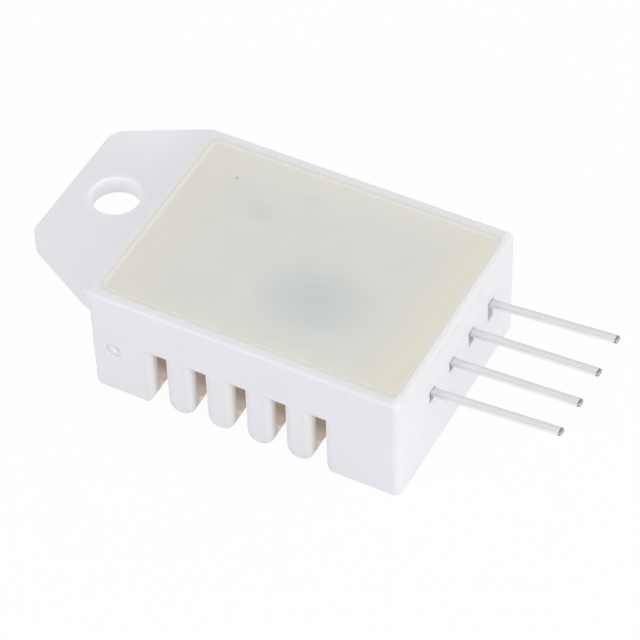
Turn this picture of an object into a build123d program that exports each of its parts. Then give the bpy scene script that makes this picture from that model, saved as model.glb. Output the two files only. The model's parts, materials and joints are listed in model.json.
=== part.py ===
# Potted temperature and humidity sensor module, modelled at full size in millimetres.
# The grille face lies on Z = 0 and the potted back faces up. The pins leave along +X, the mounting
# tab points along -X, and the origin is the centre of the body's footprint on the grille face.

from build123d import *
from math import cos, radians, sin, tan
import os

# Housing body
body_length = 20.0
body_width = 15.1
body_height = 7.7
side_wall = 0.7
end_wall = 0.5
front_wall = 0.6
body_corner_radius = 0.5
front_edge_radius = 0.25
back_edge_chamfer = 0.12
chamber_floor_radius = 1.4
cavity_corner_radius = 0.4

# Mould parting line on the far side, whose wall steps in below it and then leans in with the draft
parting_height = 5.4
parting_step = 0.12
parting_draft = 1.5

# Mounting tab
tab_length = 5.3
tab_thickness = 1.5
tab_outer_width = 9.5
tab_corner_radius = 1.15
tab_neck_radius = 1.5
tab_under_radius = 0.2
hole_diameter = 3.0
hole_centre_from_body = 2.35
hole_back_chamfer = 0.1
hole_front_chamfer = 0.3

# Grille: slots run across the front face and wrap on to both sides, where they end a little above the
# board's front face. The ribs between them are rounded like fingers, and the two end blocks are rounded
# where they meet the outer slots. Bars run along the length between the blocks.
slot_count = 5
slot_pitch = 2.58
slot_width = 0.85
slot_row_centre = -0.37
slot_above_seat = 0.15
rib_root_depth = 0.3
rib_end_radius = 0.45
block_side_radius = 0.45
block_mouth_radius = 1.0
mouth_crease = 8.0
bar_count = 3
bar_pitch = 3.75
bar_width = 1.3
bar_nose_radius = 0.5
bar_height = 1.0

# Gate mark on the near side
gate_diameter = 1.0
gate_depth = 0.15
gate_nub_diameter = 0.5
gate_nub_height = 0.08
gate_from_tab_end = 1.55
gate_height = 3.5

# Circuit board, which rests on a shelf at each end
board_seat_height = 4.3
board_thickness = 0.6
board_clearance = 0.1
board_corner_radius = 0.3
shelf_depth = 1.1

# Connector pins
pin_count = 4
pin_pitch = 2.54
pin_row_offset = 0.41
pin_width = 0.5
pin_thickness = 0.25
pin_reach = 8.05
pin_inside = 2.4
pin_bend_start = 0.3
pin_bends = [4.5, 3.3, 3.3, 5.2]
pin_slot_clearance = 0.08
pin_slot_head_room = 0.04
pin_slot_drops = [0.88, 0.84, 1.17, 1.5]

# Solder on the pins
pin_solder_length = 1.7
pin_solder_width = 1.3
pin_solder_height = 0.55
pin_solder_slope = 0.25

# Potting resin
resin_recess = 0.06

# Controller chip, with gull-wing leads along both long sides
chip_x = 1.6
chip_y = -2.0
chip_length = 4.9
chip_width = 3.9
chip_height = 1.35
chip_stand_off = 0.12
chip_edge_chamfer = 0.25
lead_count = 4
lead_pitch = 1.27
lead_width = 0.42
lead_thickness = 0.2
lead_shoulder = 0.35
lead_foot = 0.5

# Chip capacitors and resistors: centre X, centre Y, turned a quarter or not
chip_part_length = 2.0
chip_part_width = 1.25
capacitor_height = 0.9
resistor_height = 0.5
terminal_length = 0.4
capacitor_places = [(-4.0, 2.6, False), (-1.6, 4.6, False)]
resistor_places = [(4.2, 3.0, True), (-4.2, -2.2, True), (-6.6, 0.4, True)]

# Humidity element, hung under the board on two posts
element_x = -0.6
element_y = -1.6
element_length = 10.0
element_width = 5.0
element_corner_radius = 0.15
element_thickness = 0.5
element_gap = 1.1
electrode_thickness = 0.08
electrode_margin = 0.6
electrode_bus = 0.5
finger_count = 6
finger_width = 0.35
finger_tip_gap = 0.35
film_thickness = 0.1
film_margin = 0.3
post_diameter = 0.5
post_inset = 0.6

# Thermistor bead, hung under the board on its two leads
thermistor_x = -0.6
thermistor_y = 3.7
thermistor_diameter = 1.5
thermistor_length = 2.0
thermistor_end_chamfer = 0.38
thermistor_lead_diameter = 0.3
thermistor_lead_spacing = 0.8
thermistor_lead_free = 0.6

# Solder joints on the front of the board
joint_skirt = 0.22
joint_height = 0.4
joint_lip = 0.05

# Sizes worked out from the ones above
half_length = body_length / 2
half_width = body_width / 2
cavity_length = body_length - 2 * end_wall
cavity_width = body_width - 2 * side_wall
chamber_length = cavity_length - 2 * shelf_depth
slot_top = board_seat_height + slot_above_seat
board_back = board_seat_height + board_thickness
resin_top = body_height - resin_recess
element_top = board_seat_height - element_gap
overcut = 1.0
match_tolerance = 0.01

slot_xs = [slot_row_centre + (i - (slot_count - 1) / 2) * slot_pitch for i in range(slot_count)]
rib_width = slot_pitch - slot_width
rib_radius = rib_width / 2
rib_xs = [x + slot_pitch / 2 for x in slot_xs[:-1]]
pin_ys = [pin_row_offset + (i - (pin_count - 1) / 2) * pin_pitch for i in range(pin_count)]
pin_root_x = half_length - end_wall - pin_inside


def block(x_low, x_high, y_low, y_high, z_low, z_high):
    """A plain box between two corners."""
    size = (x_high - x_low, y_high - y_low, z_high - z_low)
    centre = ((x_low + x_high) / 2, (y_low + y_high) / 2, (z_low + z_high) / 2)
    return Pos(*centre) * Box(*size)


def upright(length, width, height, corner, x=0.0, y=0.0, z=0.0):
    """An upright prism with rounded vertical corners, standing on height z."""
    outline = RectangleRounded(length, width, corner)
    return Pos(x, y, z) * extrude(outline, height)


# Housing

def tab_outline():
    """The back face's outline: the body's rectangle with the tab tapering away from one end."""
    tab_end = half_length + tab_length
    half_tab = tab_outer_width / 2
    corners = [
        (half_length, -half_width),
        (half_length, half_width),
        (-half_length, half_width),
        (-tab_end, half_tab),
        (-tab_end, -half_tab),
        (-half_length, -half_width),
    ]
    face = make_face(Polyline(*corners, close=True))
    by_x = face.vertices().sort_by(Axis.X)
    face = fillet(by_x[:2], tab_corner_radius)
    neck = [v for v in face.vertices() if abs(v.X + half_length) < match_tolerance]
    face = fillet(neck, tab_neck_radius)
    pin_end = [v for v in face.vertices() if abs(v.X - half_length) < match_tolerance]
    return fillet(pin_end, body_corner_radius)


def outer_form():
    """The body and its tab as one solid form, before anything is hollowed out."""
    body = upright(body_length, body_width, body_height, body_corner_radius)
    front = body.faces().sort_by(Axis.Z)[0]
    body = fillet(front.edges(), front_edge_radius)
    plate = Pos(0, 0, body_height - tab_thickness) * extrude(tab_outline(), tab_thickness)
    under = plate.faces().sort_by(Axis.Z)[0]
    plate = fillet(under.edges(), tab_under_radius)
    form = body + plate
    back = form.faces().sort_by(Axis.Z)[-1]
    return chamfer(back.edges(), back_edge_chamfer)


def mounting_hole():
    """The hole through the tab, turned with a chamfer at each of its rims."""
    radius = hole_diameter / 2
    half = tab_thickness / 2
    outline = [
        (0, -half - overcut),
        (radius + hole_front_chamfer, -half - overcut),
        (radius + hole_front_chamfer, -half),
        (radius, hole_front_chamfer - half),
        (radius, half - hole_back_chamfer),
        (radius + hole_back_chamfer, half),
        (radius + hole_back_chamfer, half + overcut),
        (0, half + overcut),
    ]
    bore = revolve(make_face(Plane.XZ * Polyline(*outline, close=True)), Axis.Z)
    return Pos(-half_length - hole_centre_from_body, 0, body_height - half) * bore


def flare(radius):
    """How far a rounding reaches along its slot and out to one side, given the crease it ends in."""
    along = radius * cos(radians(mouth_crease))
    aside = radius * (1 - sin(radians(mouth_crease)))
    return along, aside


def grille_opening():
    """The opening for the whole grille, with both end blocks rounded at the front face and the sides."""
    left = slot_xs[0] - slot_width / 2
    right = slot_xs[-1] + slot_width / 2
    low, out = flare(block_mouth_radius)
    mouth_left = left - out
    mouth_right = right + out
    with BuildSketch(Plane.XZ) as front_profile:
        with BuildLine():
            Line((left, slot_top), (left, low))
            RadiusArc((left, low), (mouth_left, 0), block_mouth_radius)
            Polyline((mouth_left, 0), (mouth_left, -overcut), (mouth_right, -overcut), (mouth_right, 0))
            RadiusArc((mouth_right, 0), (right, low), block_mouth_radius)
            Polyline((right, low), (right, slot_top), (left, slot_top))
        make_face()
    cutter = extrude(front_profile.sketch, half_width + overcut, both=True)
    along, aside = flare(block_side_radius)
    side_left = left - aside
    side_right = right + aside
    for side in (1, -1):
        inner = side * (half_width - along)
        edge = side * half_width
        beyond = side * (half_width + overcut)
        with BuildSketch(Plane.XY) as side_profile:
            with BuildLine():
                Line((left, inner), (right, inner))
                RadiusArc((right, inner), (side_right, edge), side * block_side_radius)
                Polyline((side_right, edge), (side_right, beyond), (side_left, beyond), (side_left, edge))
                RadiusArc((side_left, edge), (left, inner), side * block_side_radius)
            make_face()
        cutter += Pos(0, 0, -overcut) * extrude(side_profile.sketch, slot_top + overcut)
    return cutter


def grille_rib(x):
    """One rib across the opening: its front is half round, and so are the edges of its two ends."""
    half = rib_width / 2
    low, out = flare(rib_radius)
    flat = half - out
    root = slot_top + rib_root_depth
    with BuildSketch(Plane.XZ) as profile:
        with BuildLine():
            Line((-half, root), (-half, low))
            RadiusArc((-half, low), (-flat, 0), -rib_radius)
            Line((-flat, 0), (flat, 0))
            RadiusArc((flat, 0), (half, low), -rib_radius)
            Polyline((half, low), (half, root), (-half, root))
        make_face()
    rib = extrude(profile.sketch, half_width, both=True)
    ends = []
    for end in (rib.faces().sort_by(Axis.Y)[0], rib.faces().sort_by(Axis.Y)[-1]):
        ends += end.edges().sort_by(Axis.Z)[:-1]
    return Pos(x, 0, 0) * fillet(ends, rib_end_radius)


def grille_bar(y):
    """A bar along the grille, rounded at the front face and flat inside."""
    half = bar_width / 2
    nose = bar_nose_radius
    with BuildSketch(Plane.YZ) as profile:
        with BuildLine():
            Line((-half, bar_height), (-half, nose))
            RadiusArc((-half, nose), (nose - half, 0), -nose)
            Line((nose - half, 0), (half - nose, 0))
            RadiusArc((half - nose, 0), (half, nose), -nose)
            Line((half, nose), (half, bar_height))
            Line((half, bar_height), (-half, bar_height))
        make_face()
    bar_start = slot_xs[0] - slot_width / 2 - block_mouth_radius
    bar_end = slot_xs[-1] + slot_width / 2 + block_mouth_radius
    bar = extrude(profile.sketch, bar_end - bar_start)
    return Pos(bar_start, y, 0) * bar


def pin_slots():
    """The slots that the pins pass through, each taller than its pin so that it can be threaded in."""
    top = board_back + pin_thickness + pin_slot_head_room
    half = pin_width / 2 + pin_slot_clearance
    inside = half_length - end_wall
    outside = half_length + overcut
    cuts = []
    for y, drop in zip(pin_ys, pin_slot_drops):
        cuts.append(block(inside, outside, y - half, y + half, top - drop, top))
    return cuts


def far_side_relief():
    """What the mould takes off the far side below the parting line: a small step, then the draft."""
    step = half_width - parting_step
    lean = (parting_height + overcut) * tan(radians(parting_draft))
    outline = [
        (step, parting_height),
        (body_width, parting_height),
        (body_width, -overcut),
        (step - lean, -overcut),
    ]
    wedge = make_face(Plane.YZ * Polyline(*outline, close=True))
    return extrude(wedge, body_length, both=True)


def gate_mark():
    """The shallow cup left by the mould's gate, and the nub that stands in it."""
    side = Plane((-half_length + gate_from_tab_end, -half_width, gate_height), z_dir=(0, -1, 0))
    floor = side.offset(-gate_depth)
    cup = extrude(floor * Circle(gate_diameter / 2), gate_depth + overcut)
    nub = extrude(floor.offset(-gate_depth) * Circle(gate_nub_diameter / 2), gate_depth + gate_nub_height)
    return cup, nub


def make_housing():
    shell = outer_form() - grille_opening()
    for x in rib_xs:
        shell += grille_rib(x)
    half_chamber = chamber_length / 2
    half_cavity = cavity_width / 2
    chamber = block(-half_chamber, half_chamber, -half_cavity, half_cavity, front_wall, board_seat_height)
    floor_edges = chamber.faces().sort_by(Axis.Z)[0].edges().filter_by(Axis.X)
    chamber = fillet(floor_edges, chamber_floor_radius)
    cavity_height = body_height - board_seat_height + overcut
    shell -= upright(cavity_length, cavity_width, cavity_height, cavity_corner_radius, z=board_seat_height)
    shell -= chamber
    for i in range(bar_count):
        shell += grille_bar((i - (bar_count - 1) / 2) * bar_pitch)
    shell -= mounting_hole()
    for cut in pin_slots():
        shell -= cut
    shell -= far_side_relief()
    cup, nub = gate_mark()
    shell -= cup
    return shell + nub


# Circuit board and pins

def make_board():
    length = cavity_length - 2 * board_clearance
    width = cavity_width - 2 * board_clearance
    return upright(length, width, board_thickness, board_corner_radius, z=board_seat_height)


def make_pin(y, bend):
    """A flat pin that lies on the back of the board; beyond the wall it may be bent up by a few degrees."""
    low = board_back
    bend_x = half_length + pin_bend_start
    tip = pin_reach - pin_bend_start
    rise = radians(bend)
    side_low = [(pin_root_x, low), (bend_x, low)]
    side_high = [(bend_x, low + pin_thickness), (pin_root_x, low + pin_thickness)]
    end_low = (bend_x + tip * cos(rise), low + tip * sin(rise))
    end_high = (end_low[0] - pin_thickness * sin(rise), end_low[1] + pin_thickness * cos(rise))
    profile = make_face(Plane.XZ * Polyline(*side_low, end_low, end_high, *side_high, close=True))
    return Pos(0, y, 0) * extrude(profile, pin_width / 2, both=True)


def make_pin_solder(pins):
    """A sloping fillet of solder around the inner end of each pin."""
    joints = []
    for y, pin in zip(pin_ys, pins):
        foot = Rectangle(pin_solder_length, pin_solder_width)
        head = Rectangle(pin_solder_length - 2 * pin_solder_slope, pin_solder_width - 2 * pin_solder_slope)
        centre_x = pin_root_x + pin_solder_length / 2 - pin_solder_slope
        mound = loft([foot, Pos(0, 0, pin_solder_height) * head])
        joints.append(Pos(centre_x, y, board_back) * mound - pin)
    return joints


# Parts on the back of the board

def make_controller_chip():
    """The chip's moulded body, with sloping sides above and below its leads."""
    centre_z = board_back + chip_stand_off + chip_height / 2
    body = Pos(chip_x, chip_y, centre_z) * Box(chip_length, chip_width, chip_height)
    faces = body.faces().sort_by(Axis.Z)
    return chamfer(faces[0].edges() + faces[-1].edges(), chip_edge_chamfer)


def make_controller_leads():
    """The gull-wing leads: out of the body, down, and flat along the board."""
    middle = chip_stand_off + chip_height / 2
    half = lead_thickness / 2
    start = chip_width / 2
    knee = start + lead_shoulder
    toe = knee + lead_foot
    outline = [
        (start, middle + half),
        (knee, middle + half),
        (knee, lead_thickness),
        (toe, lead_thickness),
        (toe, 0),
        (knee - lead_thickness, 0),
        (knee - lead_thickness, middle - half),
        (start, middle - half),
    ]
    lead = extrude(make_face(Plane.YZ * Polyline(*outline, close=True)), lead_width / 2, both=True)
    leads = []
    for i in range(lead_count):
        x = (i - (lead_count - 1) / 2) * lead_pitch
        for side in (0, 180):
            leads.append(Pos(chip_x, chip_y, board_back) * Rot(0, 0, side) * Pos(x, 0, 0) * lead)
    return leads


def chip_part(place, height):
    """A chip capacitor or resistor: its ceramic body and the metal terminal at each end."""
    x, y, turned = place
    at = Pos(x, y, board_back) * Rot(0, 0, 90 if turned else 0)
    half = chip_part_length / 2
    inner = half - terminal_length
    side = chip_part_width / 2
    body = at * block(-inner, inner, -side, side, 0, height)
    terminals = [
        at * block(-half, -inner, -side, side, 0, height),
        at * block(inner, half, -side, side, 0, height),
    ]
    return body, terminals


# Potting resin

def make_resin(buried):
    """The fill above the board, cut away by everything that it buries."""
    height = resin_top - board_back
    resin = upright(cavity_length, cavity_width, height, cavity_corner_radius, z=board_back)
    for piece in buried:
        resin -= piece
    return resin.solids().sort_by(SortBy.VOLUME)[-1]


# Sensing parts on the front of the board

def make_humidity_substrate():
    z = element_top - element_thickness
    return upright(
        element_length, element_width, element_thickness, element_corner_radius, element_x, element_y, z
    )


def make_electrodes():
    """Two combs whose fingers lie between each other without touching."""
    high = element_top - element_thickness
    low = high - electrode_thickness
    reach_x = element_length / 2 - electrode_margin
    reach_y = element_width / 2 - electrode_margin
    bus_inner = reach_y - electrode_bus
    finger_tip = -bus_inner + finger_tip_gap
    pitch = (2 * reach_x - finger_width) / (2 * finger_count - 1)
    combs = []
    for turn in (0, 180):
        comb = block(-reach_x, reach_x, bus_inner, reach_y, low, high)
        for i in range(finger_count):
            left = -reach_x + 2 * i * pitch
            comb += block(left, left + finger_width, finger_tip, bus_inner, low, high)
        combs.append(Pos(element_x, element_y, 0) * Rot(0, 0, turn) * comb)
    return combs


def make_film():
    """The moisture-sensitive film that covers the front of the combs."""
    length = element_length - 2 * film_margin
    width = element_width - 2 * film_margin
    z = element_top - element_thickness - electrode_thickness - film_thickness
    return upright(length, width, film_thickness, element_corner_radius, element_x, element_y, z)


def make_posts():
    spread = element_length / 2 - post_inset
    middle = board_seat_height - element_gap / 2
    post = Cylinder(post_diameter / 2, element_gap)
    return [Pos(element_x + side * spread, element_y, middle) * post for side in (-1, 1)]


def make_thermistor():
    """The bead and its two leads, which end inside the bead."""
    centre_z = board_seat_height - thermistor_lead_free - thermistor_diameter / 2
    barrel = Cylinder(thermistor_diameter / 2, thermistor_length)
    ends = barrel.faces().filter_by(GeomType.PLANE).edges()
    barrel = chamfer(ends, thermistor_end_chamfer)
    bead = Pos(thermistor_x, thermistor_y, centre_z) * Rot(0, 90, 0) * barrel
    lead_length = board_seat_height - centre_z
    wire = Cylinder(thermistor_lead_diameter / 2, lead_length)
    leads = []
    for side in (-1, 1):
        x = thermistor_x + side * thermistor_lead_spacing / 2
        leads.append(Pos(x, thermistor_y, centre_z + lead_length / 2) * wire)
    for lead in leads:
        bead -= lead
    return bead, leads


def make_front_solder(wires):
    """A small cone of solder where each post or lead meets the board."""
    joints = []
    for wire in wires:
        centre = wire.center()
        wire_radius = wire.bounding_box().size.X / 2
        cone = Cone(wire_radius + joint_lip, wire_radius + joint_skirt, joint_height)
        at = Pos(centre.X, centre.Y, board_seat_height - joint_height / 2)
        joints.append(at * cone - wire)
    return joints


def build_parts():
    parts = {}
    parts["housing"] = make_housing()
    parts["circuit_board"] = make_board()
    pins = [make_pin(y, bend) for y, bend in zip(pin_ys, pin_bends)]
    for i, pin in enumerate(pins):
        parts[f"pin_{i + 1}"] = pin
    parts["pin_solder"] = make_pin_solder(pins)
    parts["controller_chip"] = make_controller_chip()
    parts["controller_leads"] = make_controller_leads()
    terminals = []
    for name, places, height in (
        ("capacitor", capacitor_places, capacitor_height),
        ("resistor", resistor_places, resistor_height),
    ):
        for i, place in enumerate(places):
            body, ends = chip_part(place, height)
            parts[f"{name}_{i + 1}"] = body
            terminals += ends
    parts["chip_part_terminals"] = terminals
    buried = [p for name, p in parts.items() if name not in ("housing", "circuit_board")]
    parts["potting_resin"] = make_resin(buried)
    parts["humidity_substrate"] = make_humidity_substrate()
    parts["humidity_electrodes"] = make_electrodes()
    parts["humidity_film"] = make_film()
    parts["humidity_posts"] = make_posts()
    bead, leads = make_thermistor()
    parts["thermistor_bead"] = bead
    parts["thermistor_leads"] = leads
    parts["front_solder"] = make_front_solder(parts["humidity_posts"] + leads)
    return parts


def write_parts(parts):
    os.makedirs("parts", exist_ok=True)
    for name, piece in parts.items():
        shape = Compound(piece) if isinstance(piece, list) else piece
        export_step(shape, f"parts/{name}.step")


write_parts(build_parts())
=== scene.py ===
# Dresses the potted temperature and humidity sensor module for its portrait: a finish for every part,
# the resin as it set in the case, the rounded edges of the pins with a painted reflection on them, plain
# studio light and the camera.

import json
from math import radians

import bmesh
import bpy
from mathutils import Matrix, Vector


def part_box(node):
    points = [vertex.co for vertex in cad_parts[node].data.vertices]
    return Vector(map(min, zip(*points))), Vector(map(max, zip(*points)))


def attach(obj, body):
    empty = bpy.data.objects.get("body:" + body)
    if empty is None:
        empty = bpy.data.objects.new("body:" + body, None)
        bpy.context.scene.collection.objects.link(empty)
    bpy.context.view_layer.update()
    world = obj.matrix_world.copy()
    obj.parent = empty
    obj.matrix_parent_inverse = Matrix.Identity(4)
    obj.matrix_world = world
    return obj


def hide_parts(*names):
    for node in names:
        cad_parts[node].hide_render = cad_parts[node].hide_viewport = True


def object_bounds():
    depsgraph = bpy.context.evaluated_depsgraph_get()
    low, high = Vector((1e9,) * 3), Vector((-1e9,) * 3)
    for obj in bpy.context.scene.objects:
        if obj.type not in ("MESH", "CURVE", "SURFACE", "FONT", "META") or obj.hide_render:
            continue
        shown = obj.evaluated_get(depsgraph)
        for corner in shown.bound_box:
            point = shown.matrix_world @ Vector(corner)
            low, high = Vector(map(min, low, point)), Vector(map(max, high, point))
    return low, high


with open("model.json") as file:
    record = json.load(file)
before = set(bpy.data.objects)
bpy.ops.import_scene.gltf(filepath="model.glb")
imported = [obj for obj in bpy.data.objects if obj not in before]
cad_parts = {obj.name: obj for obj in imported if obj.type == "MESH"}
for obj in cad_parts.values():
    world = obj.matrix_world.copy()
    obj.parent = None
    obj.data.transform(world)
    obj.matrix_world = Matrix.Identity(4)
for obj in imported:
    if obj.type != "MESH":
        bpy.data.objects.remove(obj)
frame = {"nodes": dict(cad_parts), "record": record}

cad_low, cad_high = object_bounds()
nodes = frame["nodes"]
MM = 0.001
WHITE = (1, 1, 1, 1)
BLACK = (0, 0, 0, 1)

# Places that the finishes follow, taken from the frame, in millimetres
body_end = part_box("housing")[1].x / MM
near_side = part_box("housing")[0].y / MM
resin_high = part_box("potting_resin")[1] / MM
resin_half_length = resin_high.x
resin_half_width = resin_high.y
resin_top = resin_high.z
chip_middle = sum(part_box("controller_chip"), Vector()) / 2 / MM
pin_middles = [sum(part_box(name), Vector()) / 2 / MM for name in ("pin_1", "pin_2")]
pin_pitch = pin_middles[1].y - pin_middles[0].y
mounts = {mount["name"]: mount for mount in frame["record"]["mounts"]}
hole_middle = Vector(mounts["mounting_hole"]["pos_m"]) / MM
hole_radius = mounts["mounting_hole"]["dims"]["r_mm"]

# Places on the housing that the frame doesn't name, in millimetres
FRONT_WALL = 0.6
SLOT_MIDDLE = -0.37
SLOT_PITCH = 2.58
SLOT_TOP = 4.2
GRILLE_REACH = 2.6 * SLOT_PITCH
GATE_MARK = (-8.45, 3.5)
GATE_MARK_RADIUS = 0.65


# Camera

VIEW_AZIMUTH = radians(29.07)
VIEW_ELEVATION = radians(46.98)
VIEW_ROLL = radians(-1.99)
VIEW_DISTANCE = 183.3 * MM
LOOK_AT = Vector((0.115, 1.687, 1.307)) * MM
LENS = 174.43
SENSOR = 36.0
NEAR_CLIP = 10 * MM
FAR_CLIP = 5000 * MM


def add_camera():
    """A long lens from the near right, above the pin end, turned a little about its own axis."""
    camera_data = bpy.data.cameras.new("portrait_camera")
    camera_data.lens = LENS
    camera_data.sensor_width = SENSOR
    camera_data.clip_start = NEAR_CLIP
    camera_data.clip_end = FAR_CLIP
    camera = bpy.data.objects.new("portrait_camera", camera_data)
    bpy.context.scene.collection.objects.link(camera)
    turn = (
        Matrix.Rotation(VIEW_AZIMUTH, 4, "Z")
        @ Matrix.Rotation(radians(90) - VIEW_ELEVATION, 4, "X")
        @ Matrix.Rotation(VIEW_ROLL, 4, "Z")
    )
    camera.matrix_world = Matrix.Translation(LOOK_AT) @ turn @ Matrix.Translation((0, 0, VIEW_DISTANCE))
    bpy.context.scene.camera = camera


# Shader maths: an amount that varies over a surface, and the sums that can be written with it

class Amount:
    """A number that varies over a surface, held as the socket that gives it."""

    def __init__(self, finish, socket):
        self.finish = finish
        self.socket = socket

    def __add__(self, other):
        return self.finish.maths("ADD", self, other)

    def __radd__(self, other):
        return self.finish.maths("ADD", other, self)

    def __sub__(self, other):
        return self.finish.maths("SUBTRACT", self, other)

    def __rsub__(self, other):
        return self.finish.maths("SUBTRACT", other, self)

    def __mul__(self, other):
        return self.finish.maths("MULTIPLY", self, other)

    def __truediv__(self, other):
        return self.finish.maths("DIVIDE", self, other)

    def __pow__(self, other):
        return self.finish.maths("POWER", self, other)

    def __abs__(self):
        return self.finish.maths("ABSOLUTE", self)


class Finish:
    """A material in the making. Its nodes are added one by one, and the last is its output."""

    def __init__(self, name):
        self.material = bpy.data.materials.new(name)
        self.material.use_nodes = True
        self.tree = self.material.node_tree
        self.tree.nodes.clear()
        self.place = self.add("ShaderNodeTexCoord", out="Object")

    def add(self, kind, settings=None, sockets=None, out=0):
        """Adds one node with its settings and the values or links of its sockets. Gives one output."""
        node = self.tree.nodes.new(kind)
        for key, value in (settings or {}).items():
            setattr(node, key, value)
        for key, value in (sockets or {}).items():
            if isinstance(value, Amount):
                self.tree.links.new(value.socket, node.inputs[key])
            else:
                node.inputs[key].default_value = value
        if node.outputs:
            return Amount(self, node.outputs[out])

    def maths(self, operation, *values):
        """One sum on one, two or three values, each an amount or a plain number."""
        return self.add("ShaderNodeMath", {"operation": operation}, dict(enumerate(values)))

    def axes(self):
        """The place on the object as three lengths, in millimetres."""
        split = self.add("ShaderNodeSeparateXYZ", {}, {0: self.place})
        outputs = split.socket.node.outputs
        return [Amount(self, outputs[axis]) / MM for axis in ("X", "Y", "Z")]

    def noise(self, size, detail=3.0, roughness=0.5, stretch=(1, 1, 1)):
        """Cloudy noise whose blotches are about size millimetres across, from 0 to 1."""
        scaled = self.add("ShaderNodeMapping", {}, {"Vector": self.place, "Scale": stretch})
        sockets = {"Vector": scaled, "Scale": 1 / (size * MM), "Detail": detail, "Roughness": roughness}
        return self.add("ShaderNodeTexNoise", {}, sockets)

    def wander(self, size, width):
        """Noise about 0, in millimetres, that makes an edge wander inside a band of this width."""
        return (self.noise(size) - 0.5) * width

    def uneven(self, value, spread, size):
        """A value that rises by up to spread in cloudy patches about size millimetres across."""
        return value + self.noise(size) * spread

    def ease(self, amount, start, end):
        """Runs smoothly from 0 at start to 1 at end. Start may be the higher of the two."""
        settings = {"interpolation_type": "SMOOTHSTEP"}
        sockets = {"Value": amount, "From Min": start, "From Max": end}
        return self.add("ShaderNodeMapRange", settings, sockets)

    def blend(self, mask, first, second, share=1.0):
        """Mixes two colours: the first where mask is 0, and the second, up to share, where it is 1."""
        if share != 1.0:
            mask = mask * share
        factor, colour_a, colour_b = 0, 6, 7
        colours = {factor: mask, colour_a: first, colour_b: second}
        return self.add("ShaderNodeMix", {"data_type": "RGBA"}, colours, out=2)

    def oval(self, x, y, centre, radii, soft):
        """An oval: 1 in its middle and 0 outside, fading over the share of its radii that soft gives."""
        across = ((x - centre[0]) / radii[0]) ** 2 + ((y - centre[1]) / radii[1]) ** 2
        return self.ease(across ** 0.5, 1.0, 1.0 - soft)

    def disc(self, x, y, centre, radius, soft):
        """A round oval."""
        return self.oval(x, y, centre, (radius, radius), soft)

    def bump(self, height, depth, under=None):
        """Turns a height from 0 to 1 into a normal; depth is in millimetres."""
        sockets = {"Height": height, "Distance": depth * MM, "Strength": 1.0}
        if under is not None:
            sockets["Normal"] = under
        return self.add("ShaderNodeBump", {}, sockets)

    def soft_edges(self, radius):
        """Rounds edges in the light only, by a radius in millimetres."""
        return self.add("ShaderNodeBevel", {"samples": 8}, {"Radius": radius * MM})

    def blend_normals(self, mask, normal):
        """Keeps a normal where mask is 0 and goes back to the plain face where it is 1."""
        plain = self.add("ShaderNodeNewGeometry", out="Normal")
        factor, vector_a, vector_b = 0, 4, 5
        normals = {factor: mask, vector_a: normal, vector_b: plain}
        return self.add("ShaderNodeMix", {"data_type": "VECTOR"}, normals, out=1)

    def done(self, **sockets):
        """Ends the material in one Principled shader with these sockets."""
        named = {key.replace("_", " "): value for key, value in sockets.items()}
        shader = self.add("ShaderNodeBsdfPrincipled", {}, named)
        self.add("ShaderNodeOutputMaterial", {}, {"Surface": shader})
        return self.material


def srgb(red, green, blue):
    """A colour as it looks on a screen, from 0 to 255, as the shader's linear colour."""
    def linear(part):
        part = part / 255
        return part / 12.92 if part <= 0.04045 else ((part + 0.055) / 1.055) ** 2.4
    return (linear(red), linear(green), linear(blue), 1.0)


def darker(colour, step):
    """A screen colour, each part of it lower by a step."""
    return srgb(*[part - step for part in colour])


# Housing finish. A fade is a pair of places in millimetres: none of the effect at the first of them,
# all of it at the second. Both are counted from the place that the fade's name ends with.

PLASTIC = srgb(231, 230, 236)
PLASTIC_CLOUD = srgb(225, 224, 229)
PLASTIC_EDGE_RADIUS = 0.1

# Painted highlight towards the tab's far corner, and painted shade where the tab meets the body
TAB_CORNER_HIGHLIGHT = srgb(237, 235, 239)
TAB_SHADE_BY_BODY = srgb(221, 220, 224)
TAB_FADE_FROM_RESIN = (-0.4, -1.0)
TAB_CORNER_FADE_FROM_CENTRE = (2.0, 6.0)
NEAR_BODY_FADE_FROM_BODY_END = (-2.6, -0.4)
LEAVE_TAB_FADE_FROM_BODY_END = (0.4, 0.0)

RIM_FILM = srgb(228, 228, 221)
# A painted highlight on the rim at the pin end
PIN_END_RIM_HIGHLIGHT = srgb(242, 240, 240)
END_WALL_FILM = srgb(227, 223, 220)
ON_TOP_FADE_FROM_RESIN_TOP = (-0.02, 0.03)
PIN_END_FADE_FROM_RESIN = (-0.1, 0.05)
RIM_FILM_FADE_FROM_RESIN = (0.6, 0.1)
RIM_FILM_LOST_AT_PINS = 0.85
END_WALL_FADE_FROM_RESIN = (0.3, 0.45)
END_FILM_FADE_FROM_FLOOR = (6.4, 7.5)
FLUSH_FADE_FROM_RESIN = (0.2, 0.12)

# Painted shade in the chamber behind the grille, warm as if lit through the amber resin, and darker deeper
# inside
CHAMBER_SHADE_DULL = srgb(196, 180, 162)
CHAMBER_SHADE_PALE = srgb(222, 208, 192)
CHAMBER_SHADE_DEEP = srgb(160, 142, 126)
CHAMBER_SIDES_FADE_FROM_RESIN = (0.05, -0.2)
CHAMBER_FADE_FROM_FRONT_WALL = (-0.15, 0.02)
CHAMBER_FADE_FROM_RESIN_TOP = (-0.5, -1.0)
CHAMBER_MIDDLE_FADE_FROM_CENTRE = (5.8, 4.9)

# Painted shade in the slots' flared mouths
SLOT_MOUTH_SHADE = srgb(216, 216, 216)
SLOT_MOUTH_ROUGHNESS = 0.25
GRILLE_FADE_FROM_REACH = (0.0, -0.6)
GRILLE_FADE_FROM_SLOT_TOP = (0.3, 0.0)
MOUTH_FADE_FROM_SLOT = (1.1, 0.5)
DEEPER_FADE_FROM_SLOT = (0.85, 0.45)

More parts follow.
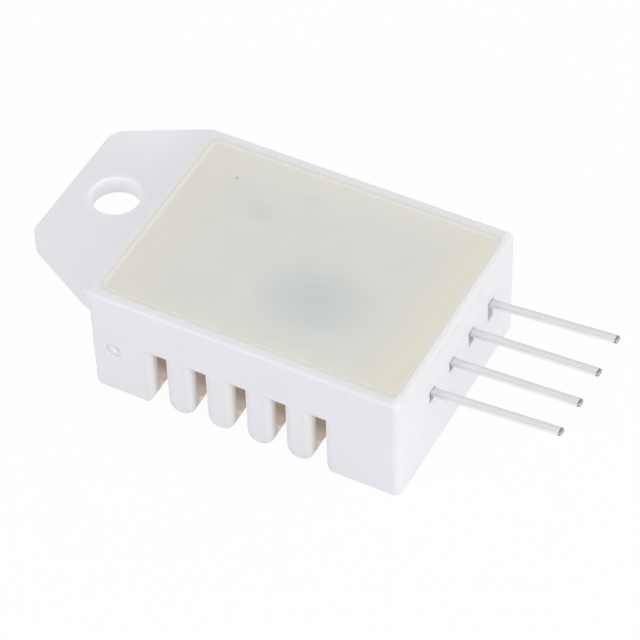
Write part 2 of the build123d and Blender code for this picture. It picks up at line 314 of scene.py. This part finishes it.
# A painted highlight round the hole's rim; the reach of the hole's rim and of its wall, as shares of its
# radius
HOLE_RIM_HIGHLIGHT = srgb(242, 240, 240)
HOLE_RIM_REACH = 1.25
HOLE_WALL_REACH = 1.05
GATE_FADE_FROM_NEAR_SIDE = (0.45, 0.25)

# Painted light: glows in the shader's own colours, standing in for light that comes through the walls into
# the chamber, and lifting the shade in the slots, the hole and the gate mark
LIGHT_AT_SIDES = (0.32, 0.28, 0.25, 1)
LIGHT_IN_MIDDLE_DULL = (0.14, 0.11, 0.09, 1)
LIGHT_IN_MIDDLE_PALE = (0.24, 0.195, 0.165, 1)
LIGHT_IN_SLOTS = (0.11, 0.11, 0.108, 1)
LIGHT_IN_HOLE = (0.075, 0.07, 0.062, 1)
LIGHT_IN_GATE_MARK = (0.05, 0.05, 0.05, 1)


def paint_light_on_tab(finish, colour, x, y):
    """Painted light on the tab: a painted highlight makes it paler towards its far corner, and painted
    shade greys it where it meets the body.
    """
    on_tab = finish.ease(x + resin_half_length, *TAB_FADE_FROM_RESIN)
    to_corner = finish.ease(y, *TAB_CORNER_FADE_FROM_CENTRE)
    past_end = x + body_end
    by_body = (
        finish.ease(past_end, *NEAR_BODY_FADE_FROM_BODY_END)
        * finish.ease(past_end, *LEAVE_TAB_FADE_FROM_BODY_END)
    )
    colour = finish.blend(on_tab * to_corner, colour, TAB_CORNER_HIGHLIGHT, share=0.7)
    return finish.blend(by_body, colour, TAB_SHADE_BY_BODY, share=0.5)


def smear_resin_and_light_rim(finish, colour, x, z, past_resin, on_top):
    """Resin smeared over the inner edge of the rim, and a little way down the end wall, and a painted
    highlight on the rim at the pin end.
    """
    wander = finish.wander(size=1.4, width=0.9)
    past_end = x - resin_half_length
    pin_end = finish.ease(past_end, *PIN_END_FADE_FROM_RESIN)
    film = finish.ease(past_resin + wander, *RIM_FILM_FADE_FROM_RESIN) * on_top
    film = film * (1.0 - pin_end * RIM_FILM_LOST_AT_PINS)
    end_film = (
        finish.ease(z + wander, *END_FILM_FADE_FROM_FLOOR)
        * finish.ease(past_end, *END_WALL_FADE_FROM_RESIN)
    )
    colour = finish.blend(film, colour, RIM_FILM, share=0.75)
    # Painted highlight on the rim at the pin end
    colour = finish.blend(pin_end * on_top, colour, PIN_END_RIM_HIGHLIGHT, share=0.7)
    return finish.blend(end_film, colour, END_WALL_FILM, share=0.6)


def chamber_mask(finish, x, y, z):
    """1 on the walls of the chamber behind the grille, fading out at its edges."""
    return (
        finish.ease(abs(x) - resin_half_length, *CHAMBER_SIDES_FADE_FROM_RESIN)
        * finish.ease(abs(y) - resin_half_width, *CHAMBER_SIDES_FADE_FROM_RESIN)
        * finish.ease(z - FRONT_WALL, *CHAMBER_FADE_FROM_FRONT_WALL)
        * finish.ease(z - resin_top, *CHAMBER_FADE_FROM_RESIN_TOP)
    )


def grille_mask(finish, x, z, inside):
    """1 over the row of slots, outside the chamber and below the top of the slots."""
    return (
        finish.ease(abs(x - SLOT_MIDDLE) - GRILLE_REACH, *GRILLE_FADE_FROM_REACH)
        * (1.0 - inside)
        * finish.ease(z - SLOT_TOP, *GRILLE_FADE_FROM_SLOT_TOP)
    )


def painted_light_glow(finish, x, y, z, inside, middle, light_blotches, in_slots):
    """Painted light: an emission glow that stands in for light through the thin walls in the chamber, and
    lifts the shade in the slots, the hole and the gate mark.
    """
    in_middle = finish.blend(light_blotches, LIGHT_IN_MIDDLE_DULL, LIGHT_IN_MIDDLE_PALE)
    in_chamber = finish.blend(middle, LIGHT_AT_SIDES, in_middle)
    in_hole = finish.disc(x, y, hole_middle.xy, hole_radius * HOLE_WALL_REACH, soft=0.04)
    at_gate = (
        finish.disc(x, z, GATE_MARK, GATE_MARK_RADIUS, soft=0.3)
        * finish.ease(y - near_side, *GATE_FADE_FROM_NEAR_SIDE)
    )
    light = finish.blend(inside, BLACK, in_chamber)
    light = finish.blend(in_slots, light, LIGHT_IN_SLOTS)
    light = finish.blend(in_hole, light, LIGHT_IN_HOLE)
    return finish.blend(at_gate, light, LIGHT_IN_GATE_MARK)


def white_plastic():
    """Moulded white plastic with a cool cast, with painted light and shade in places. An emission glow
    stands in for daylight through its thin walls into the chamber.
    """
    finish = Finish("white_plastic")
    x, y, z = finish.axes()
    past_resin = finish.maths("MAXIMUM", abs(x) - resin_half_length, abs(y) - resin_half_width)
    on_top = finish.ease(z - resin_top, *ON_TOP_FADE_FROM_RESIN_TOP)
    cloud = finish.noise(size=3.0, detail=4)
    colour = finish.blend(cloud, PLASTIC, PLASTIC_CLOUD)
    colour = paint_light_on_tab(finish, colour, x, y)
    colour = smear_resin_and_light_rim(finish, colour, x, z, past_resin, on_top)

    # Painted shade in the chamber behind the grille: warm, as if lit through the amber resin, in blotches,
    # and darker deeper inside
    inside = chamber_mask(finish, x, y, z)
    middle = finish.ease(abs(y), *CHAMBER_MIDDLE_FADE_FROM_CENTRE)
    light_blotches = finish.noise(size=1.1, detail=2)
    chamber_shade = finish.blend(light_blotches, CHAMBER_SHADE_DULL, CHAMBER_SHADE_PALE)
    chamber_shade = finish.blend(middle, chamber_shade, CHAMBER_SHADE_DEEP, share=0.6)
    colour = finish.blend(inside, colour, chamber_shade)

    # Painted shade in each slot's flared mouth, darker than the wall round it, and a painted highlight
    # round the hole's rim
    in_grille = grille_mask(finish, x, z, inside)
    from_slot = finish.maths("PINGPONG", x - SLOT_MIDDLE, SLOT_PITCH / 2)
    shaded_mouth = finish.ease(from_slot, *MOUTH_FADE_FROM_SLOT) * in_grille
    in_slots = finish.ease(from_slot, *DEEPER_FADE_FROM_SLOT) * in_grille
    rim_highlight = finish.disc(x, y, hole_middle.xy, hole_radius * HOLE_RIM_REACH, soft=0.22)
    colour = finish.blend(shaded_mouth, colour, SLOT_MOUTH_SHADE, share=0.8)
    colour = finish.blend(rim_highlight, colour, HOLE_RIM_HIGHLIGHT, share=0.35)

    # Edges are rounded in the light, but not the rim's inner edge, which the resin meets flush
    flush = finish.ease(past_resin, *FLUSH_FADE_FROM_RESIN) * on_top
    normal = finish.blend_normals(flush, finish.soft_edges(PLASTIC_EDGE_RADIUS))
    normal = finish.bump(finish.noise(size=1.6, detail=2), depth=0.012, under=normal)
    normal = finish.bump(finish.noise(size=0.09, detail=2), depth=0.0025, under=normal)
    return finish.done(
        Base_Color=colour,
        Roughness=finish.uneven(0.4, spread=0.16, size=0.8) + shaded_mouth * SLOT_MOUTH_ROUGHNESS,
        Normal=normal,
        IOR=1.5,
        Subsurface_Weight=0.25,
        Subsurface_Radius=(1.0, 0.85, 0.7),
        Subsurface_Scale=0.6 * MM,
        Emission_Color=painted_light_glow(finish, x, y, z, inside, middle, light_blotches, in_slots),
        Emission_Strength=1.0,
    )


# Resin finish. Its fades are counted inwards from the wall

RESIN = srgb(219, 220, 213)
RESIN_CLOUD = srgb(212, 214, 208)
RESIN_FAR_SIDE = srgb(224, 223, 216)
RESIN_SIDES = srgb(224, 221, 212)
RESIN_ENDS = srgb(225, 219, 209)
RESIN_PIN_END = srgb(226, 221, 204)
RESIN_BORDER = srgb(228, 226, 220)
# Painted light on the resin's sloping lip, lifting the shade it falls in
RESIN_LIP_LIGHT = srgb(240, 237, 229)
FAR_SIDE_FADE = (3.4, 0.6)
SIDES_FADE = (1.5, 0.1)
ENDS_FADE = (4.2, 0.2)
PIN_END_FADE = (2.6, 0.3)
BORDER_FADE = (0.6, 0.0)
BORDER_WANDER = 0.8
LIP_FADE = (0.35, 0.0)

# One dark speck near the tab: its place and radius in millimetres
SPECK = srgb(186, 190, 188)
SPECK_PLACE = (-6.7, 4.5)
SPECK_RADIUS = 0.14

# What shows through the resin: middle, half length and half width in millimetres, share and colour
SHADOWS = (
    (chip_middle.xy + Vector((0.4, -0.3)), (4.8, 4.2), 0.95, srgb(200, 205, 205)),
    ((-4.0, 2.6), (1.7, 1.2), 0.5, srgb(206, 208, 203)),
    ((3.8, -1.0), (1.5, 1.1), 0.35, srgb(206, 208, 204)),
    ((-1.6, 4.6), (1.6, 0.9), 0.25, srgb(208, 210, 206)),
)


def milky_resin():
    """Milky potting resin: grey over the parts beneath, yellower where it thins against the walls, with
    painted light on its sloping lip against the walls.
    """
    finish = Finish("milky_resin")
    x, y = finish.axes()[:2]
    cloud = finish.noise(size=2.2, detail=5, roughness=0.55)
    wander = finish.wander(size=1.3, width=1.1)
    to_end = resin_half_length - abs(x)
    to_side = resin_half_width - abs(y)
    to_wall = finish.maths("MINIMUM", to_end, to_side)
    far_side = finish.ease(resin_half_width - y - wander, *FAR_SIDE_FADE)
    sides = finish.ease(to_side + wander, *SIDES_FADE)
    ends = finish.ease(to_end + wander, *ENDS_FADE)
    pin_end = finish.ease(resin_half_length - x - wander, *PIN_END_FADE)
    border = finish.ease(to_wall + wander * BORDER_WANDER, *BORDER_FADE)
    lit_lip = finish.ease(to_wall, *LIP_FADE)
    speck = finish.disc(x, y, SPECK_PLACE, SPECK_RADIUS, soft=0.5)
    colour = finish.blend(cloud, RESIN, RESIN_CLOUD)
    colour = finish.blend(far_side, colour, RESIN_FAR_SIDE, share=0.7)
    colour = finish.blend(sides, colour, RESIN_SIDES, share=0.75)
    colour = finish.blend(ends, colour, RESIN_ENDS, share=0.75)
    colour = finish.blend(pin_end, colour, RESIN_PIN_END, share=0.8)
    for middle, radii, share, shade in SHADOWS:
        shadow = finish.oval(x, y, middle, radii, soft=0.95)
        colour = finish.blend(shadow, colour, shade, share)
    colour = finish.blend(border, colour, RESIN_BORDER, share=0.6)
    colour = finish.blend(lit_lip, colour, RESIN_LIP_LIGHT, share=0.85)
    colour = finish.blend(speck, colour, SPECK)
    return finish.done(
        Base_Color=colour,
        Roughness=finish.uneven(0.34, spread=0.12, size=0.7),
        Normal=finish.bump(finish.noise(size=2.4, detail=2), depth=0.02),
        IOR=1.5,
        Subsurface_Weight=0.3,
        Subsurface_Radius=(1.0, 0.9, 0.7),
        Subsurface_Scale=0.7 * MM,
    )


# Finishes of the metal, the board and the parts on it. The steps lower a screen colour

PATCH_STEP = 14
PATCH_ROUGHNESS = 0.12
# Painted reflection on the pins' far halves and painted shade where they leave the wall
PIN_FAR_HALF_SHADE_STEP = 22
PIN_FAR_HALF_FADE_FROM_MIDDLE = (0.0, 0.22)
PIN_ROOT_SHADE_STEP = 32
PIN_ROOT_FADE_FROM_BODY_END = (1.3, 0.3)
BOARD = srgb(150, 118, 78)
BOARD_PALE = srgb(176, 144, 100)
WEAVE_PER_MM = 12.0
WEAVE_SHARE = 0.4
BOARD_CLOUD_SHARE = 0.4
BOARD_CLOUD_ROUGHNESS = 0.1


def shade_pin(finish, tint, colour):
    """Painted reflection and shade on each pin: a painted reflection darkens its far half, and painted
    shade darkens it where it leaves the wall.
    """
    x, y = finish.axes()[:2]
    from_middle = finish.maths("WRAP", y - pin_middles[0].y, pin_pitch / 2, -pin_pitch / 2)
    far_half = finish.ease(from_middle, *PIN_FAR_HALF_FADE_FROM_MIDDLE)
    by_wall = finish.ease(x - body_end, *PIN_ROOT_FADE_FROM_BODY_END)
    tint = finish.blend(far_half, tint, darker(colour, PIN_FAR_HALF_SHADE_STEP), share=0.8)
    return finish.blend(by_wall, tint, darker(colour, PIN_ROOT_SHADE_STEP), share=0.5)


def tinned_metal(name, colour, roughness, pin=False):
    """Tinned metal with drawn lines along its length and a few duller patches. A pin also gets a painted
    reflection on its far half and painted shade by the wall.
    """
    finish = Finish(name)
    lines = finish.noise(size=0.05, detail=2, stretch=(0.04, 1, 1))
    patches = finish.noise(size=0.8)
    tint = finish.blend(patches, srgb(*colour), darker(colour, PATCH_STEP))
    if pin:
        tint = shade_pin(finish, tint, colour)
    return finish.done(
        Base_Color=tint,
        Metallic=1.0,
        Roughness=roughness + patches * PATCH_ROUGHNESS,
        Normal=finish.bump(lines, depth=0.004),
    )


def board_laminate():
    """Bare glass laminate: a fine weave in a warm brown board."""
    finish = Finish("board_laminate")
    x, y = finish.axes()[:2]
    across = finish.maths("SINE", x * WEAVE_PER_MM)
    along = finish.maths("SINE", y * WEAVE_PER_MM)
    weave = across * along * 0.5 + 0.5
    cloud = finish.noise(size=1.8)
    return finish.done(
        Base_Color=finish.blend(weave * WEAVE_SHARE + cloud * BOARD_CLOUD_SHARE, BOARD, BOARD_PALE),
        Roughness=0.5 + cloud * BOARD_CLOUD_ROUGHNESS,
        Normal=finish.bump(weave, depth=0.01),
    )


def speckled(name, light, dark, roughness, metallic=0.0):
    """A finely speckled finish between two colours, such as moulded epoxy or fired ceramic."""
    finish = Finish(name)
    grain = finish.noise(size=0.15, detail=4, roughness=0.7)
    return finish.done(
        Base_Color=finish.blend(grain, srgb(*dark), srgb(*light)),
        Metallic=metallic,
        Roughness=finish.uneven(roughness, spread=0.12, size=0.5),
        Normal=finish.bump(grain, depth=0.006),
    )


def dress(material, *names):
    """Gives nodes of the frame one material."""
    for name in names:
        mesh = nodes[name].data
        mesh.materials.clear()
        mesh.materials.append(material)


def dress_all():
    """Gives every node of the frame its finish, apart from those that a new piece replaces."""
    dress(white_plastic(), "housing")
    dress(board_laminate(), "circuit_board")
    solder = tinned_metal("solder", (196, 198, 202), roughness=0.2)
    dress(solder, "pin_solder", "front_solder")
    chip_lead = tinned_metal("chip_lead", (190, 191, 194), roughness=0.3)
    dress(chip_lead, "controller_leads", "chip_part_terminals")
    post_wire = tinned_metal("post_wire", (198, 196, 190), roughness=0.25)
    dress(post_wire, "humidity_posts", "thermistor_leads")
    chip_body = speckled("chip_body", (44, 44, 46), (26, 26, 28), roughness=0.5)
    dress(chip_body, "controller_chip")
    capacitor = speckled("capacitor_ceramic", (168, 138, 104), (146, 116, 84), roughness=0.45)
    dress(capacitor, "capacitor_1", "capacitor_2")
    resistor = speckled("resistor_body", (52, 54, 60), (32, 34, 40), roughness=0.4)
    dress(resistor, "resistor_1", "resistor_2", "resistor_3")
    element = speckled("element_ceramic", (226, 224, 216), (208, 205, 196), roughness=0.55)
    dress(element, "humidity_substrate")
    gold = speckled("electrode_gold", (214, 176, 92), (190, 150, 70), roughness=0.3, metallic=1.0)
    dress(gold, "humidity_electrodes")
    film = speckled("humidity_film", (150, 146, 128), (128, 124, 106), roughness=0.4)
    dress(film, "humidity_film")
    coating = speckled("thermistor_coating", (58, 44, 34), (38, 28, 22), roughness=0.35)
    dress(coating, "thermistor_bead")


# New pieces, each worked from a copy of the frame's own solid; lengths are in millimetres

JOIN_DISTANCE = 0.0005
FLAT_ANGLE = radians(0.5)

RESIN_CREEP = 0.058
RESIN_RINGS = ((0.08, 0.018), (0.1, 0.02), (0.14, 0.02))
RESIN_GRID = 0.5
RESIN_WAVE_LENGTH = 2.6
RESIN_WAVE_HEIGHT = 0.05
RESIN_SMOOTH_ANGLE = radians(40)
SURFACE_UPWARD = 0.99
SURFACE_TOLERANCE = 0.004

PIN_EDGE = 0.03
PIN_EDGE_STEPS = 2
PIN_TIP_LENGTH = 0.2
PIN_TAPER = 0.9
PIN_END_OUTWARD = 0.9
PIN_SMOOTH_ANGLE = radians(30)

# Each pin's materials after its tin, by their place in its list
TIP_MATERIAL = 1
EDGE_MATERIAL = 2


def open_piece(piece):
    """Opens one piece in edit mode with nothing selected."""
    bpy.ops.object.select_all(action="DESELECT")
    piece.select_set(True)
    bpy.context.view_layer.objects.active = piece
    bpy.ops.object.mode_set(mode="EDIT")
    bpy.ops.mesh.select_all(action="DESELECT")


def copied(node_name, name, *materials):
    """A copy of one solid, opened, with its loose triangles joined and its flat faces made whole."""
    piece = bpy.data.objects.new(name, nodes[node_name].data.copy())
    piece.data.materials.clear()
    for material in materials:
        piece.data.materials.append(material)
    bpy.context.scene.collection.objects.link(piece)
    open_piece(piece)
    bpy.ops.mesh.select_all(action="SELECT")
    bpy.ops.mesh.remove_doubles(threshold=JOIN_DISTANCE * MM)
    bpy.ops.mesh.dissolve_limited(angle_limit=FLAT_ANGLE)
    return piece


def pick(piece, test):
    """Selects just those faces of the open piece that pass a test, and gives the middle of the last."""
    bpy.ops.mesh.select_mode(type="FACE")
    bpy.ops.mesh.select_all(action="DESELECT")
    mesh = bmesh.from_edit_mesh(piece.data)
    middle = None
    for face in mesh.faces:
        if test(face):
            face.select_set(True)
            middle = face.calc_center_median()
    bmesh.update_edit_mesh(piece.data)
    return middle


def seat(piece, smooth_angle, node_name):
    """Closes a finished piece and sets it in the place of its solid."""
    bpy.ops.object.mode_set(mode="OBJECT")
    bpy.ops.object.shade_smooth_by_angle(angle=smooth_angle)
    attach(piece, "root")
    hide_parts(node_name)


def wave_surface(piece):
    """Lifts and lowers the selected faces of the open piece in long, low waves, and closes it."""
    bpy.ops.mesh.select_mode(type="VERT")
    bpy.ops.object.vertex_group_add()
    bpy.ops.object.vertex_group_assign()
    bpy.ops.object.mode_set(mode="OBJECT")
    waves = bpy.data.textures.new("resin_waves", "CLOUDS")
    waves.noise_scale = RESIN_WAVE_LENGTH * MM
    swell = piece.modifiers.new("waves", "DISPLACE")
    swell.texture = waves
    swell.texture_coords = "LOCAL"
    swell.direction = "Z"
    swell.strength = RESIN_WAVE_HEIGHT * MM
    swell.mid_level = 0.5
    swell.vertex_group = piece.vertex_groups[0].name
    bpy.ops.object.modifier_apply(modifier=swell.name)


def make_resin_fill():
    """The resin as it set: it creeps up the walls, sinks a little inside them and lies not quite flat."""
    piece = copied("potting_resin", "resin_fill", milky_resin())
    level = resin_top * MM

    def on_surface(face):
        above = face.calc_center_median().z - level
        return face.normal.z > SURFACE_UPWARD and abs(above) < SURFACE_TOLERANCE * MM

    pick(piece, on_surface)
    bpy.ops.transform.translate(value=(0, 0, RESIN_CREEP * MM))
    for width, drop in RESIN_RINGS:
        bpy.ops.mesh.inset(thickness=width * MM, depth=-drop * MM)
    for axis, reach in ((0, resin_half_length), (1, resin_half_width)):
        count = round(2 * reach / RESIN_GRID)
        for step in range(1, count):
            place = Vector((0, 0, level))
            place[axis] = (step * 2 * reach / count - reach) * MM
            across = Vector((0, 0, 0))
            across[axis] = 1
            bpy.ops.mesh.bisect(plane_co=place, plane_no=across)
            pick(piece, on_surface)
    wave_surface(piece)
    seat(piece, RESIN_SMOOTH_ANGLE, "potting_resin")


def make_pins():
    """The four pins: edges rounded off, with a painted reflection on them, and tips cut a little narrower,
    with the metal left bare.
    """
    tin = tinned_metal("tinned_pin", (253, 253, 255), roughness=0.36, pin=True)
    bare = tinned_metal("bare_pin_tip", (168, 166, 165), roughness=0.4)
    # Painted reflection on the pins' rounded edges, as a darker tin
    shaded_edge = tinned_metal("shaded_pin_edge", (232, 231, 232), roughness=0.4, pin=True)
    for name in ("pin_1", "pin_2", "pin_3", "pin_4"):
        piece = copied(name, "tinned_" + name, tin, bare, shaded_edge)
        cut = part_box(name)[1].x - PIN_TIP_LENGTH * MM

        def in_tip(face):
            return face.calc_center_median().x > cut

        def at_end(face):
            return face.normal.x > PIN_END_OUTWARD and in_tip(face)

        bpy.ops.mesh.select_all(action="SELECT")
        bpy.ops.mesh.bisect(plane_co=(cut, 0, 0), plane_no=(1, 0, 0))
        end_middle = pick(piece, at_end)
        bpy.ops.transform.resize(value=(1, PIN_TAPER, PIN_TAPER), center_override=end_middle)
        pick(piece, in_tip)
        piece.active_material_index = TIP_MATERIAL
        bpy.ops.object.material_slot_assign()
        bpy.ops.mesh.select_mode(type="EDGE")
        bpy.ops.mesh.select_all(action="DESELECT")
        bpy.ops.mesh.edges_select_sharp(sharpness=PIN_SMOOTH_ANGLE)
        bpy.ops.mesh.bevel(
            offset=PIN_EDGE * MM,
            segments=PIN_EDGE_STEPS,
            affect="EDGES",
            material=EDGE_MATERIAL,
        )
        seat(piece, PIN_SMOOTH_ANGLE, name)


# Stage and light

FLOOR_SIZE = 4000 * MM
FLOOR_PAINT = srgb(240, 240, 242)
FLOOR_GLOW_SEEN = 0.96
FLOOR_GLOW_MIRRORED = 0.5
ROOM_LIGHT = 0.79


def add_floor():
    """A pale floor that the camera sees as nearly plain white, with the module's faint shadow on it."""
    bpy.ops.object.select_all(action="DESELECT")
    bpy.ops.mesh.primitive_plane_add(size=FLOOR_SIZE, location=(0, 0, cad_low[2]))
    floor = bpy.context.object
    floor.name = "studio_floor"
    finish = Finish("studio_floor")
    paint = finish.add("ShaderNodeBsdfDiffuse", {}, {"Color": FLOOR_PAINT})
    glow = finish.add("ShaderNodeEmission", {}, {"Color": WHITE, "Strength": 1.0})
    seen = finish.add("ShaderNodeLightPath", out="Is Camera Ray")
    mirrored = finish.add("ShaderNodeLightPath", out="Is Glossy Ray")
    glowing = seen * FLOOR_GLOW_SEEN + mirrored * FLOOR_GLOW_MIRRORED
    mixed = finish.add("ShaderNodeMixShader", {}, {0: glowing, 1: paint, 2: glow})
    finish.add("ShaderNodeOutputMaterial", {}, {"Surface": mixed})
    floor.data.materials.append(finish.material)


def add_lamp(name, place, size, power):
    """A square soft lamp, its place and size in millimetres, facing the module."""
    lamp_data = bpy.data.lights.new(name, "AREA")
    lamp_data.shape = "SQUARE"
    lamp_data.size = size * MM
    lamp_data.energy = power
    lamp = bpy.data.objects.new(name, lamp_data)
    lamp.location = Vector(place) * MM
    aim = LOOK_AT - lamp.location
    lamp.rotation_euler = aim.to_track_quat("-Z", "Y").to_euler()
    bpy.context.scene.collection.objects.link(lamp)


def add_light():
    """An even white room, a key lamp past the pin end and a weaker lamp on the near side."""
    world = bpy.data.worlds.new("studio")
    world.use_nodes = True
    background = world.node_tree.nodes["Background"]
    background.inputs["Color"].default_value = WHITE
    background.inputs["Strength"].default_value = ROOM_LIGHT
    bpy.context.scene.world = world
    add_lamp("key", place=(300, -40, 130), size=280, power=0.425)
    add_lamp("fill", place=(-120, -280, 160), size=200, power=0.205)
    bpy.context.scene.view_settings.view_transform = "Standard"


add_camera()
dress_all()
make_resin_fill()
make_pins()
add_floor()
add_light()
